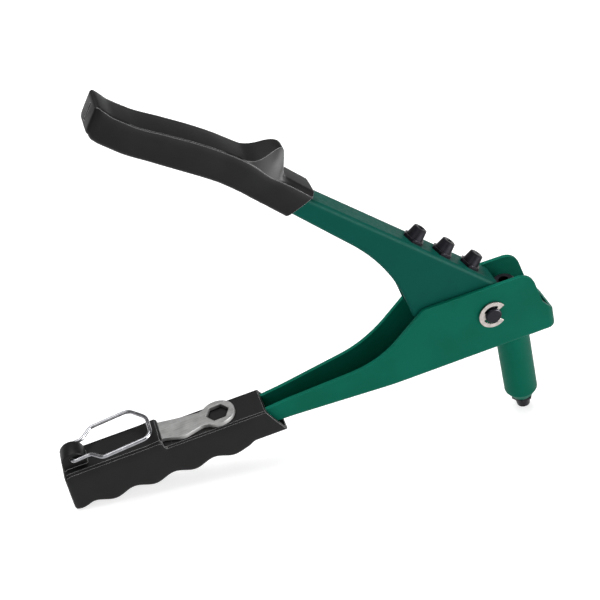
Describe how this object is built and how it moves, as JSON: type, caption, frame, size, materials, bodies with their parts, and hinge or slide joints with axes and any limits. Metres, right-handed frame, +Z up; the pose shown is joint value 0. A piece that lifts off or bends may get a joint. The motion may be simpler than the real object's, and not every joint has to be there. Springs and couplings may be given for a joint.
{
  "type": "hand riveter",
  "caption": "Hand lever riveter with pressed steel handles, sleeved grips, a nose barrel, spare nosepieces, a stored wrench and a wire latch.",
  "frame": {"origin": "on the floor under the centre of the box of the standing tool", "axes": "+X along the tool towards the head, +Y across the tool away from the retaining clip, +Z up with the tool standing on its nosepiece and its heel, handles open"},
  "size_m": [0.2484, 0.0264, 0.2086],
  "materials": {
    "green_paint_fixed": "satin green powder coat on pressed steel",
    "green_paint_lever": "satin green powder coat on pressed steel",
    "green_paint_barrel": "satin green powder coat on turned steel",
    "black_vinyl_lower": "matt black moulded vinyl",
    "black_vinyl_upper": "matt black moulded vinyl",
    "black_oxide_pin": "black oxide on hardened steel",
    "zinc_clip": "bright zinc on spring steel",
    "zinc_barrel_nut": "bright zinc on steel",
    "zinc_case_nut": "bright zinc on steel",
    "black_oxide_case": "black oxide on steel",
    "black_oxide_puller": "black oxide on steel",
    "tool_steel_jaw_near": "hardened tool steel",
    "tool_steel_jaw_far": "hardened tool steel",
    "steel_pusher": "plain steel",
    "spring_steel": "plain spring steel",
    "chrome_wire": "bright plated spring wire",
    "stamped_steel": "tumbled bright zinc on stamped steel",
    "black_oxide_nose_3_2": "black oxide on steel",
    "black_oxide_nose_2_4": "black oxide on steel",
    "black_oxide_nose_4_0": "black oxide on steel",
    "black_oxide_nose_4_8": "black oxide on steel"
  },
  "bodies": {
    "frame": {"fixed_handle": "green_paint_fixed", "fixed_grip": "black_vinyl_lower", "fulcrum_pin": "black_oxide_pin", "fulcrum_pin_clip": "zinc_clip", "barrel": "green_paint_barrel", "barrel_lock_nut": "zinc_barrel_nut"},
    "lever": {"moving_handle": "green_paint_lever", "moving_grip": "black_vinyl_upper"},
    "train": {"jaw_case": "black_oxide_case", "jaw_case_lock_nut": "zinc_case_nut", "pulling_head": "black_oxide_puller", "jaw_spring": "spring_steel"},
    "jaw_near": {"jaw_near": "tool_steel_jaw_near"},
    "jaw_far": {"jaw_far": "tool_steel_jaw_far"},
    "pusher": {"jaw_pusher": "steel_pusher"},
    "latch": {"latch_wire": "chrome_wire"},
    "wrench": {"nosepiece_wrench": "stamped_steel"},
    "nose": {"nosepiece_fitted_3_2": "black_oxide_nose_3_2"},
    "nosepiece_spare_2_4": {"nosepiece_spare_2_4": "black_oxide_nose_2_4"},
    "nosepiece_spare_4_0": {"nosepiece_spare_4_0": "black_oxide_nose_4_0"},
    "nosepiece_spare_4_8": {"nosepiece_spare_4_8": "black_oxide_nose_4_8"}
  },
  "joints": [
    {"name": "handle_hinge", "type": "hinge", "parent": "frame", "child": "lever", "pos_m": [0.08938, 0, 0.07015], "axis": [0, -1, 0], "range_deg": [0, 44]},
    {"name": "pulling_slide", "type": "slide", "parent": "frame", "child": "train", "axis": [-0.1898, 0, 0.9818], "range_m": [0, 0.00856]},
    {"name": "jaw_near_slide", "type": "slide", "parent": "train", "child": "jaw_near", "axis": [0.1884, 0.1219, -0.9745], "range_m": [0, 0.00203]},
    {"name": "jaw_far_slide", "type": "slide", "parent": "train", "child": "jaw_far", "axis": [0.1884, -0.1219, -0.9745], "range_m": [0, 0.00203]},
    {"name": "pusher_slide", "type": "slide", "parent": "train", "child": "pusher", "axis": [0.1898, 0, -0.9818], "range_m": [0, 0.00203], "deforming": ["jaw_spring"]},
    {"name": "latch_hinge", "type": "hinge", "parent": "frame", "child": "latch", "pos_m": [-0.11895, 0, 0.02876], "axis": [0, -1, 0], "range_deg": [0, 175]},
    {"name": "wrench_slide", "type": "slide", "parent": "frame", "child": "wrench", "axis": [0.9818, 0, 0.1898], "range_m": [0, 0.0135]},
    {"name": "fitted_nosepiece_slide", "type": "slide", "parent": "frame", "child": "nose", "axis": [0.1898, 0, -0.9818], "range_m": [0, 0.0095]},
    {"name": "nosepiece_spare_2_4_slide", "type": "slide", "parent": "lever", "child": "nosepiece_spare_2_4", "axis": [0.573, 0, 0.8196], "range_m": [0, 0.0095]},
    {"name": "nosepiece_spare_4_0_slide", "type": "slide", "parent": "lever", "child": "nosepiece_spare_4_0", "axis": [0.573, 0, 0.8196], "range_m": [0, 0.0095]},
    {"name": "nosepiece_spare_4_8_slide", "type": "slide", "parent": "lever", "child": "nosepiece_spare_4_8", "axis": [0.573, 0, 0.8196], "range_m": [0, 0.0095]}
  ],
  "couplings": [
    {"joint": "pulling_slide", "follows": "handle_hinge", "m_per_rad": 0.011115},
    {"joint": "jaw_near_slide", "follows": "handle_hinge", "m_per_rad": 0.0026239},
    {"joint": "jaw_far_slide", "follows": "handle_hinge", "m_per_rad": 0.0026239},
    {"joint": "pusher_slide", "follows": "handle_hinge", "m_per_rad": 0.0026044}
  ]
}
